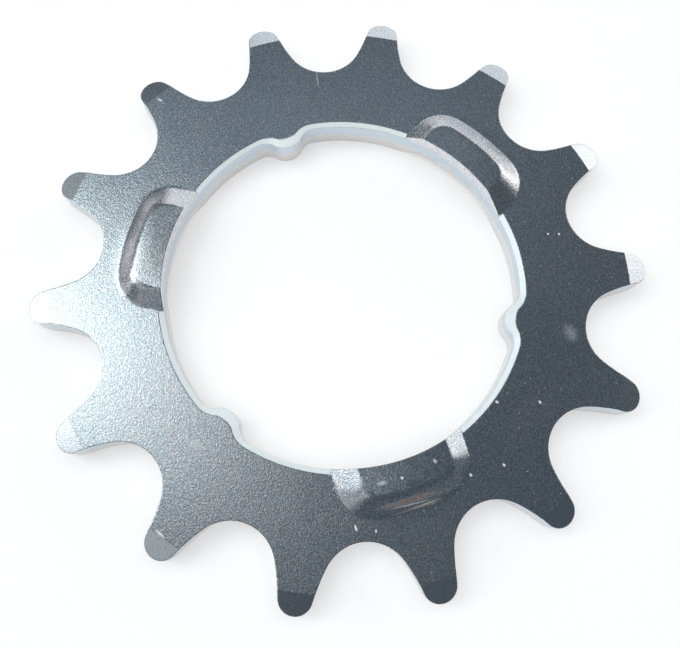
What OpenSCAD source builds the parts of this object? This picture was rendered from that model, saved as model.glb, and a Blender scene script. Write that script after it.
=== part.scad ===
// Hub gear sprocket: a flat toothed ring with three drive lugs in its bore and
// three pressed-up pads between them. Millimetres, +Z up, the back face on Z = 0
// and the bore centre on the Z axis. A tooth gap is centred on +X.

/* [Chain] */

// Distance from one chain roller to the next
chain_pitch = 12.7; // [8:0.1:16]
// Number of teeth
teeth = 14; // [12:1:22]
// Radius of the round seat that a roller rests in
seat_radius = 4.2; // [3.9:0.05:4.4]
// Half of the angle that the round seat covers
seat_half_angle = 57.5; // [52:0.5:60]

/* [Teeth] */

// How far the tooth tips stand outside the pitch circle
tip_height = 2.5; // [2:0.05:3]
// Radius of the rounded tooth tips
tip_radius = 1.6; // [1.3:0.05:1.8]
// Length of the bevel on each tip, from the tip inwards
tip_bevel_length = 2.1; // [1:0.05:3]
// Depth of that bevel at the tip, on both faces
tip_bevel_depth = 0.7; // [0.3:0.05:1]

/* [Plate and bore] */

// Thickness of the plate
plate_thickness = 3; // [2.2:0.1:4]
// Diameter of the bore between the lugs
bore_diameter = 35.6; // [33:0.1:37]
// Width of the chamfer round the bore, on the front only
rim_chamfer = 0.55; // [0.3:0.05:0.7]
// Width that the chamfer grows to on the nose of each lug
nose_chamfer = 1.1; // [0.4:0.05:1.2]
// Depth of that chamfer all along
chamfer_depth = 0.2; // [0.15:0.05:0.4]

/* [Drive lugs] */

// Number of lugs, and of pads
lug_count = 3; // [3:1:3]
// Turn from a gap centre to the first lug
first_lug_turn = 15.5; // [0:0.5:25]
// How far a lug stands into the bore
lug_height = 1.45; // [1:0.05:2]
// Radius of the lug's round nose
lug_nose_radius = 2; // [1.5:0.05:2.5]
// Radius where a lug runs into the bore wall
lug_root_radius = 1.5; // [1:0.05:2]

/* [Pressed pads] */

// Turn from a lug to the middle of the next pad
pad_turn = 57.3; // [52:0.5:64]
// How far the pads are pressed up out of the front face
pad_lift = 1.2; // [0.5:0.1:1.5]
// Width of a pad at the foot of its end slopes
pad_foot_width = 13; // [11:0.1:14]
// Reach of a pad's foot outwards from the bore wall
pad_foot_reach = 4.6; // [4:0.1:5]
// Corner radius at the foot
pad_foot_corner = 3.4; // [2.5:0.1:4]
// Run of the slope at the end nearer to a lug
pad_near_slope = 2.1; // [1.4:0.1:2.5]
// Run of the slope at the other end
pad_far_slope = 1.6; // [1:0.1:2.2]
// Run of the slope along its outer side
pad_outer_slope = 1.5; // [1:0.1:2]
// Corner radius of the raised flat
pad_flat_corner = 1.8; // [1:0.1:2.4]
// Height and width of the rounding at the edge of the raised flat
pad_rounding = 0.35; // [0.1:0.05:0.5]

/* [Hidden] */

$fn = 180;

// Straight steps that stand for each round stretch of an outline
seat_steps = 9;
flank_steps = 4;
tip_steps = 8;
edge_steps = 10;
wall_steps = 16;
// Sides of a full circle at a pad's corners, and of the arc along its outer side
pad_corner_sides = 32;
pad_arc_sides = 96;

// Small overlap that lets a cut pass clean through a face
over = 0.2;
// How far the turned blank stands outside the tooth tips
blank_spare = 0.5;
// How far a lug's outline runs on behind the bore wall
lug_backing = 1;
// Thickness of the thin slabs that a pad's shape is stretched between
pad_skin = 0.01;
// How far the shallow chamfer's cut stands clear of the faces that it trims
chamfer_over = 0.08;
// How far the chamfer runs into the foot of a pad, in degrees
chamfer_overrun = 0.3;

tooth_step = 360 / teeth;
pitch_radius = chain_pitch / 2 / sin(tooth_step / 2);
tip_circle_radius = pitch_radius + tip_height;
bore_radius = bore_diameter / 2;
lug_step = 360 / lug_count;

// A point at a distance and a turn
function spot(radius, turn) = radius * [cos(turn), sin(turn)];
// The turn of the line from one point to another
function heading(from, to) = atan2(to.y - from.y, to.x - from.x);

// Tooth gap, on +X. The seat circle passes over into a flank circle that just
// touches both it and the tip circle of the next tooth.
seat_centre = [pitch_radius, 0];
tip_centre = spot(tip_circle_radius - tip_radius, tooth_step / 2);
flank_line = spot(1, -seat_half_angle);
seat_to_tip = tip_centre - seat_centre;
radii_sum = seat_radius + tip_radius;
flank_extra = (seat_to_tip * seat_to_tip - radii_sum * radii_sum)
    / (2 * (seat_to_tip * flank_line + radii_sum));
flank_radius = seat_radius + flank_extra;
flank_centre = seat_centre + flank_extra * flank_line;

// Drive lug, on +X. The root circles touch both the nose circle and the bore wall.
nose_centre_radius = bore_radius - lug_height + lug_nose_radius;
root_centre_radius = bore_radius - lug_root_radius;
nose_to_root = lug_nose_radius + lug_root_radius;
root_turn = acos((pow(nose_centre_radius, 2) + pow(root_centre_radius, 2) - pow(nose_to_root, 2))
    / (2 * nose_centre_radius * root_centre_radius));
nose_centre = [nose_centre_radius, 0];
root_centre = spot(root_centre_radius, root_turn);
root_heading = heading(root_centre, nose_centre);

// Half of the angle that a pad's foot takes of the bore wall
pad_half_turn = asin(pad_foot_width / 2 / bore_radius);

// Points along an arc from one turn to another, without the first
function arc(centre, radius, from, to, steps) =
    [for (i = [1:steps]) centre + spot(radius, from + (to - from) * i / steps)];
// A point turned about the origin
function turned(point, turn) =
    [point.x * cos(turn) - point.y * sin(turn), point.x * sin(turn) + point.y * cos(turn)];
// The same points on the other side of the X axis, in the opposite order, without the last
function mirrored(points) = [for (i = [len(points) - 2:-1:0]) [points[i].x, -points[i].y]];

// One side of a gap, from the bottom of the seat to the middle of the next tip. The
// flank is hollow, and on a coarse pitch it bulges, with its centre inside the tooth.
flank_end = flank_radius > 0 ? heading(flank_centre, tip_centre) : heading(tip_centre, flank_centre);
half_gap = concat(
    arc(seat_centre, seat_radius, 180, 180 - seat_half_angle, seat_steps),
    arc(flank_centre, flank_radius, 180 - seat_half_angle, flank_end, flank_steps),
    arc(tip_centre, tip_radius, flank_end - 180, tooth_step / 2, tip_steps)
);
gap = concat(mirrored(half_gap), [seat_centre - [seat_radius, 0]], half_gap);

module tooth_outline() {
    polygon([for (i = [0:teeth - 1]) for (point = gap) turned(point, i * tooth_step)]);
}

// The turned blank: a disc with both faces bevelled towards the edge
module blank() {
    bevel_start = tip_circle_radius - tip_bevel_length;
    edge_radius = tip_circle_radius + blank_spare;
    edge_drop = tip_bevel_depth * (1 + blank_spare / tip_bevel_length);
    rotate_extrude()
        polygon([
            [0, 0],
            [bevel_start, 0],
            [edge_radius, edge_drop],
            [edge_radius, plate_thickness - edge_drop],
            [bevel_start, plate_thickness],
            [0, plate_thickness]
        ]);
}

// Places along an arc without the first, each with its point and the direction of
// the metal beside it. side is 1 where the metal lies outside the arc, -1 inside.
function along(centre, radius, from, to, steps, side) =
    [for (i = [1:steps]) let (turn = from + (to - from) * i / steps)
        [centre + spot(radius, turn), side * spot(1, turn)]];
// The same places on the other side of the X axis, in the opposite order
function flipped(places) =
    [for (i = [len(places) - 1:-1:0]) [for (v = places[i]) [v.x, -v.y]]];

// A lug's edge, from the middle of its nose to the bore wall
nose_place = [nose_centre - [lug_nose_radius, 0], [1, 0]];
lug_side = concat(
    along(nose_centre, lug_nose_radius, 180, 180 + root_heading, edge_steps, -1),
    along(root_centre, lug_root_radius, root_heading, root_turn, edge_steps, 1)
);
lug_edge = concat(flipped(lug_side), [nose_place], lug_side);

// A lug, on +X, run on into the metal behind the bore wall
module lug_outline() {
    behind = bore_radius + lug_backing;
    polygon(concat([spot(behind, -root_turn)], [for (place = lug_edge) place[0]], [spot(behind, root_turn)]));
}

// The open bore: round, and stepped in at each lug
module bore() {
    difference() {
        circle(bore_radius);
        for (turn = [0:lug_step:360 - lug_step])
            rotate(first_lug_turn + turn) lug_outline();
    }
}

// The chamfer is a three-sided cut that follows the bore's edge past a lug, from
// the end of one pad to the next
function wall_places(pad_end) = along([0, 0], bore_radius, root_turn, pad_end, wall_steps, 1);

// The further an edge stands into the bore, the wider its chamfer
function chamfer_width(point) =
    rim_chamfer + (nose_chamfer - rim_chamfer) * (bore_radius - norm(point)) / lug_height;

module lug_chamfer() {
    places = concat(
        flipped(wall_places(lug_step - pad_turn - pad_half_turn + chamfer_overrun)),
        lug_edge,
        wall_places(pad_turn - pad_half_turn + chamfer_overrun)
    );
    count = len(places);
    points = [
        for (place = places)
            let (
                width = chamfer_width(place[0]),
                slope = chamfer_depth / width
            )
                for (corner = [
                    [-chamfer_over, -chamfer_depth - chamfer_over * slope],
                    [width + chamfer_over / slope, chamfer_over],
                    [-chamfer_over, chamfer_over]
                ])
                    let (at = place[0] + corner[0] * place[1]) [at.x, at.y, plate_thickness + corner[1]]
    ];
    sides = [
        for (i = [0:count - 2])
            for (k = [0:2])
                let (next = (k + 1) % 3) [3 * i + k, 3 * i + next, 3 * i + 3 + next, 3 * i + 3 + k]
    ];
    ends = [[2, 1, 0], [3 * count - 3, 3 * count - 2, 3 * count - 1]];
    polyhedron(points, concat(sides, ends));
}

// One level of a pad, on +X: straight ends, round corners and an arc outside. near
// and far are how far the two ends stand from the pad's middle.
module pad_level(height, near, far, reach, corner) {
    outer_radius = bore_radius + reach;
    inner_x = bore_radius * cos(pad_half_turn) - over;
    near_y = near - corner;
    far_y = far - corner;
    near_x = sqrt(pow(outer_radius - corner, 2) - pow(near_y, 2));
    far_x = sqrt(pow(outer_radius - corner, 2) - pow(far_y, 2));
    near_turn = atan2(near_y, near_x);
    far_turn = atan2(far_y, far_x);
    translate([0, 0, height - pad_skin]) {
        translate([near_x, -near_y]) cylinder(h = pad_skin, r = corner, $fn = pad_corner_sides);
        translate([far_x, far_y]) cylinder(h = pad_skin, r = corner, $fn = pad_corner_sides);
        rotate(-near_turn)
            rotate_extrude(angle = near_turn + far_turn, $fn = pad_arc_sides)
                translate([outer_radius - corner, 0]) square([corner, pad_skin]);
        translate([inner_x, -near]) cube([near_x - inner_x, near + far, pad_skin]);
    }
}

// The pressed-up shape of one pad, used for the pad and for the hollow behind it. Its
// slopes rise from the foot to a shoulder, and the rounding leads on to the flat.
module pad_shape() {
    half = pad_foot_width / 2;
    near = half - pad_near_slope;
    far = half - pad_far_slope;
    reach = pad_foot_reach - pad_outer_slope;
    hull() {
        pad_level(0, half, half, pad_foot_reach, pad_foot_corner);
        pad_level(pad_lift - pad_rounding / 2, near, far, reach, pad_flat_corner);
        pad_level(pad_lift, near - pad_rounding, far - pad_rounding, reach - pad_rounding, pad_flat_corner);
    }
}

module pads() {
    for (turn = [0:lug_step:360 - lug_step])
        rotate(first_lug_turn + pad_turn + turn) pad_shape();
}

// An outline run through the whole height, past both faces
module through() {
    translate([0, 0, -over]) linear_extrude(plate_thickness + pad_lift + 2 * over) children();
}

// The plate with its pads pressed up, its teeth stamped out and its bore open
module pressed_plate() {
    difference() {
        intersection() {
            union() {
                blank();
                translate([0, 0, plate_thickness]) pads();
            }
            through() tooth_outline();
        }
        pads();
        through() bore();
    }
}

// The same plate with the chamfer cut past the first so many lugs
module chamfered_plate(lugs) {
    if (lugs == 0) {
        pressed_plate();
    } else {
        difference() {
            chamfered_plate(lugs - 1);
            rotate(first_lug_turn + lugs * lug_step) lug_chamfer();
        }
    }
}

module sprocket() {
    color([0.72, 0.74, 0.76]) chamfered_plate(lug_count);
}

sprocket();
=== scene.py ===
# %% [markdown]
# # A hub gear sprocket in plated steel
#
# The real object is a flat ring of sheet steel, three millimetres thick, with
# fourteen teeth for a bicycle chain. It is stamped out, three pads are pressed up
# round the bore, and the whole is plated bright with zinc. The shape comes from the
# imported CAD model, so this scene is about how the metal looks and how it is lit.

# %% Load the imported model
import math

import bmesh
import bpy
from mathutils import Matrix, Vector

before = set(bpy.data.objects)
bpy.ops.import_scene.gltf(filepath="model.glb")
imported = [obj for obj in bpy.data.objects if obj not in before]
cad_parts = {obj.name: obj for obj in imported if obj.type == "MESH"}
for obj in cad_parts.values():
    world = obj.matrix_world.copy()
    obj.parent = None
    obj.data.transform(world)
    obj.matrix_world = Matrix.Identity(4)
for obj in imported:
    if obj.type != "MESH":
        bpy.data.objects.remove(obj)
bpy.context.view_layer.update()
MM = 0.001

# %% [markdown]
# ## The camera
#
# Bright metal shows what stands round it, so the camera comes before the lamps. The
# ring is small and the photograph was taken from about seven centimetres away, which
# makes the near side clearly larger than the far side. The camera's three
# directions are written down as they were fitted to the tooth tips, and a lens of 37
# mm gives the same perspective.

# %% Camera
CAMERA_RIGHT = Vector((-0.07653, -0.99670, 0.02707))
CAMERA_UP = Vector((0.96671, -0.06752, 0.24679))
CAMERA_BACK = CAMERA_RIGHT.cross(CAMERA_UP)
CAMERA_PLACE = Vector((-20.543, 3.715, 69.585)) * MM
SENSOR_WIDTH = 36
FOCAL_PIXELS = 700
PHOTO_WIDTH = 680

camera_data = bpy.data.cameras.new("photo_camera")
camera_data.sensor_width = SENSOR_WIDTH
camera_data.lens = SENSOR_WIDTH * FOCAL_PIXELS / PHOTO_WIDTH
camera_data.clip_start = 5 * MM
camera = bpy.data.objects.new("photo_camera", camera_data)
camera_turn = Matrix((CAMERA_RIGHT, CAMERA_UP, CAMERA_BACK)).transposed().to_4x4()
camera.matrix_world = Matrix.Translation(CAMERA_PLACE) @ camera_turn
bpy.context.scene.collection.objects.link(camera)
bpy.context.scene.camera = camera
print("camera stands", round(CAMERA_PLACE.length / MM, 1), "mm from the bore")

# %% [markdown]
# ## Shader maths in plain Python
#
# A procedural material is a sum written with nodes. Small wrappers make it readable:
# a Socket stands for one value in the tree, and adding or multiplying two of them
# adds the Math node that does it. The Finish class holds one material and makes any
# other node from its type, its settings and its inputs.

# %% Socket and Finish
class Socket:
    def __init__(self, finish, link):
        self.finish = finish
        self.link = link

    def math(self, operation, *others):
        values = dict(enumerate((self,) + others))
        return self.finish.node("ShaderNodeMath", {"operation": operation}, values)

    def __add__(self, other):
        return self.math("ADD", other)

    def __sub__(self, other):
        return self.math("SUBTRACT", other)

    def __rsub__(self, other):
        settings = {"operation": "SUBTRACT"}
        return self.finish.node("ShaderNodeMath", settings, {0: other, 1: self})

    def __mul__(self, other):
        return self.math("MULTIPLY", other)

    def __truediv__(self, other):
        return self.math("DIVIDE", other)

    __radd__ = __add__
    __rmul__ = __mul__

    def ramp(self, start, end):
        """0 at start and below, 1 at end and above, smooth between."""
        settings = {"interpolation_type": "SMOOTHSTEP"}
        values = {0: self, 1: start, 2: end, 3: 0, 4: 1}
        return self.finish.node("ShaderNodeMapRange", settings, values)


class Finish:
    def __init__(self, name):
        self.material = bpy.data.materials.new(name)
        self.material.use_nodes = True
        self.tree = self.material.node_tree
        self.tree.nodes.clear()
        self.output = self.tree.nodes.new("ShaderNodeOutputMaterial")

    def node(self, kind, settings=None, inputs=None, output=0):
        made = self.tree.nodes.new(kind)
        for name, value in (settings or {}).items():
            setattr(made, name, value)
        for name, value in (inputs or {}).items():
            if isinstance(value, Socket):
                self.tree.links.new(value.link, made.inputs[name])
            else:
                made.inputs[name].default_value = value
        return Socket(self, made.outputs[output])

    def split(self, vector):
        """The vector's x, y and z as three sockets."""
        parts = self.node("ShaderNodeSeparateXYZ", {}, {0: vector}).link.node
        return [Socket(self, part) for part in parts.outputs]

    def noise(self, where, scale, detail, roughness):
        inputs = {"Vector": where, "Scale": scale, "Detail": detail, "Roughness": roughness}
        return self.node("ShaderNodeTexNoise", {}, inputs)

    def mix(self, share, first, second):
        settings = {"data_type": "RGBA"}
        return self.node("ShaderNodeMix", settings, {0: share, 6: first, 7: second}, output=2)

    def finish(self, shader):
        self.tree.links.new(shader.link, self.output.inputs["Surface"])
        print("finish", self.material.name, "has", len(self.tree.nodes), "nodes")
        return self.material


# %% [markdown]
# ## The floor
#
# The photograph shows the ring on pure white with a soft grey shadow round it. Here
# a white floor lies just under the part. To the camera and in reflections it adds a
# glow of its own, so that it stays white while the part's shadow still shows on it.

# %% Floor
FLOOR_GAP = 0.02 * MM
FLOOR_HALF_WIDTH = 3
FLOOR_PAINT = (0.72, 0.72, 0.72, 1)
FLOOR_GLOW = 0.32
WHITE = (1, 1, 1, 1)

floor_mesh = bmesh.new()
bmesh.ops.create_grid(floor_mesh, x_segments=1, y_segments=1, size=FLOOR_HALF_WIDTH)
bmesh.ops.translate(floor_mesh, vec=(0, 0, -FLOOR_GAP), verts=floor_mesh.verts)
floor_data = bpy.data.meshes.new("floor")
floor_mesh.to_mesh(floor_data)
floor_mesh.free()
floor = bpy.data.objects.new("floor", floor_data)
bpy.context.scene.collection.objects.link(floor)

white = Finish("white_floor")
seen = white.node("ShaderNodeLightPath")
mirrored = Socket(white, seen.link.node.outputs["Is Glossy Ray"])
passed = Socket(white, seen.link.node.outputs["Is Transmission Ray"])
any_view = seen.math("MAXIMUM", mirrored).math("MAXIMUM", passed)
paint = white.node("ShaderNodeBsdfDiffuse", {}, {"Color": FLOOR_PAINT})
glow_inputs = {"Color": WHITE, "Strength": any_view * FLOOR_GLOW}
glow = white.node("ShaderNodeEmission", {}, glow_inputs)
painted = white.node("ShaderNodeAddShader", {}, {0: paint, 1: glow})
floor_data.materials.append(white.finish(painted))

# %% [markdown]
# ## The lamps
#
# Bright metal is dark where it mirrors an unlit room and white where it mirrors a
# softbox. So nine softboxes stand where the bright tips, slopes and faces look, each
# about as bright as the photograph is there. A tenth lamp, wide and overhead, lights
# the floor and the satin parts. It is kept out of reflections, because a mirrored
# sheet of light would turn the dark faces grey.

# %% Lamps
COOL_WHITE = (0.96, 1.0, 1.0)
# What is to the right in the photograph is turned this far, in degrees, on the floor
PHOTO_TURN = -94.39
photo_axes = Matrix.Rotation(math.radians(PHOTO_TURN), 3, "Z").to_4x4()


def softbox(name, centre, size, radiance, across, colour=COOL_WHITE):
    """A rectangular lamp that faces the ring and looks as bright as radiance from there.

    centre and across are in the photograph's directions: x to the right, y up, z high.
    """
    data = bpy.data.lights.new(name, "AREA")
    data.shape = "RECTANGLE"
    data.size, data.size_y = size
    data.energy = radiance * math.pi * size[0] * size[1]
    data.color = colour
    lamp = bpy.data.objects.new(name, data)
    back = Vector(centre).normalized()
    side = Vector(across)
    side = (side - side.dot(back) * back).normalized()
    axes = Matrix((side, back.cross(side), back)).transposed().to_4x4()
    lamp.matrix_world = photo_axes @ Matrix.Translation(centre) @ axes
    lamp.visible_camera = False
    bpy.context.scene.collection.objects.link(lamp)
    place = [round(v, 2) for v in lamp.matrix_world.translation]
    print(name, "at", place, "radiance", radiance)
    return lamp


# Name, centre and size in metres, radiance, direction of the width, and colour
SOFTBOXES = [
    ("left_box", (-0.66, 0.29, 1.0), (0.64, 0.39), 2.6, (1, -0.42, 0), (0.86, 1.0, 0.975)),
    ("inner_box", (-0.25, 0.16, 1.0), (0.13, 0.30), 1.2, (1, 0, 0)),
    ("veil_box", (-0.12, 0.04, 1.0), (0.2, 0.3), 0.28, (1, 0, 0)),
    ("side_box", (-1.15, 0.05, 0.72), (0.75, 0.7), 2.0, (0, 1, 0)),
    ("far_box", (0.225, 1.25, 0.38), (1.3, 0.42), 1.05, (1, 0, 0)),
    ("upper_box", (-0.08, 0.53, 1.0), (0.75, 0.32), 0.16, (1, 0, 0), (0.66, 0.86, 1.0)),
    ("right_box", (1.07, 0.66, 0.42), (0.78, 0.62), 1.6, (-0.55, 0.83, 0), (1.0, 1.0, 0.96)),
    ("dim_box", (-0.95, 0.85, 0.62), (0.6, 0.5), 0.26, (0.66, 0.75, 0)),
    ("near_left_box", (-0.75, -0.72, 0.9), (0.5, 0.5), 0.5, (-0.7, 0.7, 0)),
]
for row in SOFTBOXES:
    softbox(*row)
sky = softbox("floor_light", (0, 0, 1.5), (2.5, 2.5), 1.25, (1, 0, 0), (1.0, 0.98, 0.975))
sky.visible_glossy = False

ROOM_COLOUR = (0.078, 0.095, 0.110, 1)
world = bpy.data.worlds.new("room")
world.use_nodes = True
room = world.node_tree.nodes["Background"].inputs
room["Color"].default_value = ROOM_COLOUR
room["Strength"].default_value = 1
bpy.context.scene.world = world

# %% [markdown]
# ## Where a point lies on the ring
#
# The plate's face, its punched walls, the coined edge of the bore and the raised pads
# all look different on the real ring, though they are one piece of metal. Separate
# pieces would be wrong, so one material finds out by itself where it is: Object
# coordinates give the height above the back face and the distance from the bore's
# middle, and a smooth step on either one is a mask. Heights and reaches are in mm.

# %% Height, reach and masks
PLATE_THICKNESS = 3
TIP_BEVEL_START = 28.94
# The tip bevels run this many mm outwards for each mm of depth
TIP_BEVEL_RUN = 3

steel = Finish("plated_steel")
point = steel.node("ShaderNodeTexCoord", output=3)
across, along, up = steel.split(point)
height = up / MM
reach = (across * across + along * along).math("SQRT") / MM

on_face = height.ramp(2.97, 2.995)
on_pads = height.ramp(3.02, 3.3)
coined = height.ramp(2.79, 2.81) * (1 - on_face) * (1 - reach.ramp(18.9, 19.1))
bevel_depth = ((reach - TIP_BEVEL_START) / TIP_BEVEL_RUN).math("MAXIMUM", 0.0)
below_top = PLATE_THICKNESS - bevel_depth - height
wall = (height - bevel_depth).ramp(0.01, 0.04) * below_top.ramp(0.2, 0.25)
tip_bevel = reach.ramp(28.9, 29.0) * (1 - wall)
print("masks for the face, the pads, the coined edge, the tips and the punched walls")

# %% [markdown]
# ## The grain of bright zinc
#
# Up close bright zinc is a field of tiny crystals, a tenth or two of a millimetre
# across. Each one leans a little its own way, so where the face passes from a bright
# reflection to a dark one it breaks up into light and dark specks. Fine noise in a
# Bump node gives the lean, and a slower noise clouds the colour as the bath did. The
# specks that stand out at any angle are in the colour: white sparks, dark pits, and
# bluish and rosy flecks. They are fainter on the tips' bevels.

# %% Grain and clouds
BLUE_GREY, PALE_GREY = (0.66, 0.72, 0.77, 1), (0.76, 0.79, 0.80, 1)
YELLOWISH, ROSY = (0.80, 0.79, 0.74, 1), (0.72, 0.68, 0.71, 1)
BLUE_FLECK, ROSY_FLECK = (0.58, 0.69, 0.84, 1), (0.78, 0.68, 0.71, 1)
DARK_PIT = (0.36, 0.40, 0.45, 1)

crystals = steel.noise(point, 7200, 1, 0.5)
clouds = steel.noise(point, 170, 4, 0.6)
breath = steel.noise(point, 60, 2, 0.5)
face_tint = steel.mix(clouds.ramp(0.35, 0.7), BLUE_GREY, PALE_GREY)
face_tint = steel.mix(on_pads * breath.ramp(0.45, 0.6) * 0.5, face_tint, YELLOWISH)
face_tint = steel.mix(breath.ramp(0.42, 0.62) * 0.35, face_tint, ROSY)

sparks = steel.noise(point, 5600, 1, 0.5)
fleck_noise = steel.noise(point, 2600, 2, 0.6)
flecks = steel.mix(fleck_noise.ramp(0.4, 0.6), BLUE_FLECK, ROSY_FLECK)
face_tint = steel.mix(0.4 - 0.2 * tip_bevel, face_tint, flecks)
contrast = 0.8 - 0.5 * tip_bevel
pits = 1 - sparks.ramp(0.30, 0.48)
face_tint = steel.mix(sparks.ramp(0.52, 0.70) * contrast, face_tint, WHITE)
face_tint = steel.mix(pits * contrast * 0.7, face_tint, DARK_PIT)
print("after the grain the finish has", len(steel.tree.nodes), "nodes")

# %% [markdown]
# ## The punched walls
#
# A punch cuts sheet steel in two steps, and every wall shows both. The part under the
# punch is sheared smooth, with faint draw lines that run through the thickness, and
# the rest breaks away rough and dull. Noise squeezed along the height makes the draw
# lines, and a wavy step in height parts the two bands.

# %% Sheared and broken bands
SHEARED_TINT, BROKEN_TINT = (0.62, 0.70, 0.77, 1), (0.90, 0.88, 0.87, 1)

stretched = steel.node("ShaderNodeMapping", {}, {"Vector": point, "Scale": (1, 1, 0.08)})
draw_lines = steel.noise(stretched, 2600, 2, 0.6)
edge_wave = steel.noise(stretched, 420, 3, 0.6) * 1.6
broken = wall * (1 - (height - edge_wave).ramp(0.5, 0.85))
sheared = wall * (1 - broken)
wall_tint = steel.mix(broken, SHEARED_TINT, BROKEN_TINT)
print("with the punched walls it has", len(steel.tree.nodes), "nodes")

# %% [markdown]
# ## The pressed pads
#
# A press leaves no sharp crease. The metal bends over a wide, soft radius, and the
# flat on top stays a little crowned. The solid has plain slopes and level flats, so
# the material softens them: one mask marks the pads, for a wider rounding there, and
# a low dome over each pad goes into the relief. Both are made of ovals, which a
# Mapping node puts in place, turns and sizes.

# %% Pads
PAD_TURNS = (72.8, 192.8, 312.8)
PAD_REACH = 20.1


def oval(x, y, long, wide, turn, soft, strength=1.0):
    """strength inside an oval, 0 outside; soft is the share of it that fades."""
    inputs = {"Vector": point, "Location": (x * MM, y * MM, 0),
              "Scale": (long * MM, wide * MM, 1), "Rotation": (0, 0, math.radians(turn))}
    fitted = steel.node("ShaderNodeMapping", {"vector_type": "TEXTURE"}, inputs)
    away = steel.node("ShaderNodeVectorMath", {"operation": "LENGTH"}, {0: fitted}, output=1)
    return (1 - away.ramp(1 - soft, 1)) * strength


near_pad = 0.0
crown = 0.0
for pad_turn in PAD_TURNS:
    middle = Vector((PAD_REACH, 0)) @ Matrix.Rotation(-math.radians(pad_turn), 2)
    near_pad = oval(middle.x, middle.y, 3.9, 8.6, pad_turn, 0.15).math("MAXIMUM", near_pad)
    crown = oval(middle.x, middle.y, 3.6, 6.4, pad_turn, 1.0).math("MAXIMUM", crown)
# The bore's edge keeps the small rounding
near_pad = near_pad * reach.ramp(18.3, 18.9)
print(len(PAD_TURNS), "pads, at", PAD_TURNS, "degrees")

# %% [markdown]
# ## The small marks
#
# The ring carries what handling left on it: pinpricks, two dots, a smudge, a hairline,
# and faint brown rub lines on the near pad. Each one that can be made out in the
# photograph is an oval at its own place. The fainter pinpricks between them come from
# a pattern of scattered cells, of which a noise lets only some show.

# %% Marks
# x and y, length and width in mm, turn in degrees, share that fades, and strength
PALE_MARKS = [
    (4.24, -21.37, 0.13, 0.13, 0, 0.5), (4.16, -22.50, 0.16, 0.13, 0, 0.5),
    (-6.27, -22.08, 1.3, 1.0, 20, 1.0, 0.22), (23.6, 0.97, 1.6, 0.06, 3, 0.9, 0.6),
    (-18.96, -3.88, 0.17, 0.17, 0, 0.6), (-17.67, -7.07, 0.33, 0.24, 40, 0.9, 0.7),
    (-19.27, -2.05, 0.3, 0.6, 12, 0.9, 0.5), (-23.06, 0.65, 0.42, 0.13, 14, 0.6),
    (-19.15, -10.48, 0.22, 0.16, 30, 0.7), (-23.47, -1.17, 0.2, 0.14, 0, 0.8),
    (-18.47, -13.72, 0.22, 0.16, 30, 0.7), (-12.52, -13.84, 0.24, 0.16, 60, 0.6),
    (-12.83, -18.0, 0.24, 0.14, 30, 0.6), (-14.46, 15.05, 1.3, 0.6, 60, 1.0, 0.3),
    (-22.2, 18.4, 0.8, 0.15, 47, 0.8, 0.9), (23.28, 18.84, 0.5, 0.12, 10, 0.7),
    (22.02, 17.8, 0.4, 0.14, 60, 0.7),
]
RUB_LINES = [(-20.9, -4.9, 4.4, 0.34, -79.7, 0.8), (-21.7, -5.2, 3.0, 0.10, -78, 0.6)]
PALE_STREAKS = [(-21.37, -4.5, 2.7, 0.09, -81.4, 0.8), (-21.43, -5.9, 2.3, 0.08, -75.3, 0.8)]

marks = 0.0
for pale_mark in PALE_MARKS:
    marks = oval(*pale_mark).math("MAXIMUM", marks)
cell_inputs = {"Vector": point, "Scale": 650}
cells = steel.node("ShaderNodeTexVoronoi", {"voronoi_dimensions": "2D"}, cell_inputs)
lucky = steel.noise(point, 900, 0, 0.5).ramp(0.55, 0.62)
marks = marks.math("MAXIMUM", (1 - cells.ramp(0.02, 0.05)) * lucky * 0.4)
marks = marks * on_face

wide_rub, thin_rub = (oval(*line) for line in RUB_LINES)
patchy = steel.noise(point, 700, 2, 0.6).ramp(0.3, 0.6)
rubbed = wide_rub.math("MAXIMUM", thin_rub) * patchy
upper_streak, lower_streak = (oval(*line) for line in PALE_STREAKS)
streaks = upper_streak.math("MAXIMUM", lower_streak)
print(len(PALE_MARKS), "pale marks,", len(RUB_LINES), "rub lines and",
      len(PALE_STREAKS), "pale streaks")

# %% [markdown]
# ## Putting the finish together
#
# One Principled shader takes it all. The edge of the bore is coined, which is pressed
# over in a narrow bevel, and came out satin and pale all the way round. Everything is
# metal but for a share of that edge, the broken walls and the marks, where a rough
# surface scatters light from all sides. Two Bevel nodes round the look of the edges
# and leave the solid as it is: a seventh of a millimetre on every sharp edge, as
# stamping and plating do, and half a millimetre on the pads.

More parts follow.
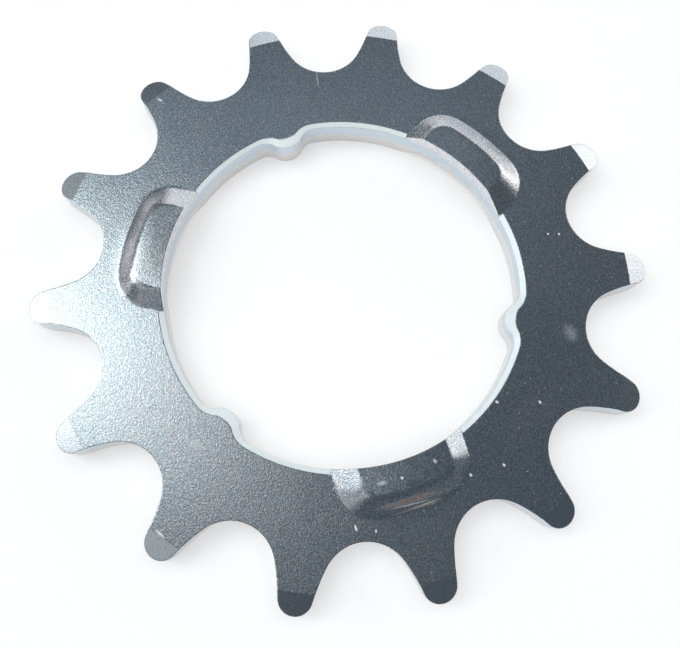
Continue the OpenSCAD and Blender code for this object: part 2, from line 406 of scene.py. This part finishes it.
# %% Plated steel
COINED_TINT = (0.92, 0.98, 1.0, 1)
RUB_BROWN = (0.30, 0.19, 0.17, 1)
STREAK_TINT = (0.75, 0.80, 0.72, 1)
MARK_TINT = (0.90, 0.92, 0.93, 1)
CRISP_EDGE = 0.14 * MM
PRESSED_EDGE = 0.5 * MM
GRAIN_DEPTH = 0.014 * MM
# The pads' crown, as a multiple of the grain's depth
CROWN_HEIGHT = 11

tint = steel.mix(wall, face_tint, wall_tint)
tint = steel.mix(coined, tint, COINED_TINT)
tint = steel.mix(rubbed * 0.9, tint, RUB_BROWN)
tint = steel.mix(streaks * 0.7, tint, STREAK_TINT)
tint = steel.mix(marks, tint, MARK_TINT)
satin = (coined * 0.7).math("MAXIMUM", marks * 0.7).math("MAXIMUM", broken * 0.5)
satin = satin.math("MAXIMUM", rubbed * 0.5).math("MAXIMUM", streaks * 0.5)
roughness = 0.17 + 0.05 * clouds + 0.05 * crystals + 0.07 * sparks
roughness = roughness + 0.28 * satin + 0.1 * sheared * draw_lines

crisp = steel.node("ShaderNodeBevel", {"samples": 6}, {"Radius": CRISP_EDGE})
pressed = steel.node("ShaderNodeBevel", {"samples": 8}, {"Radius": PRESSED_EDGE})
rounded = steel.node("ShaderNodeMix", {"data_type": "VECTOR"},
                     {0: near_pad, 4: crisp, 5: pressed}, output=1)
relief = crystals * (1 - wall) + draw_lines * wall + CROWN_HEIGHT * crown
bump = steel.node("ShaderNodeBump", {}, {"Strength": 1.0, "Distance": GRAIN_DEPTH,
                                         "Height": relief, "Normal": rounded})
shader = steel.node("ShaderNodeBsdfPrincipled", {},
                    {"Base Color": tint, "Metallic": 1 - satin, "Roughness": roughness,
                     "Normal": bump})
steel_material = steel.finish(shader)
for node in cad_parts.values():
    for slot in node.material_slots:
        slot.material = steel_material

# %% [markdown]
# ## Colours
#
# Standard is the view transform that shows a colour as it is written.

# %% View settings
bpy.context.scene.view_settings.view_transform = "Standard"
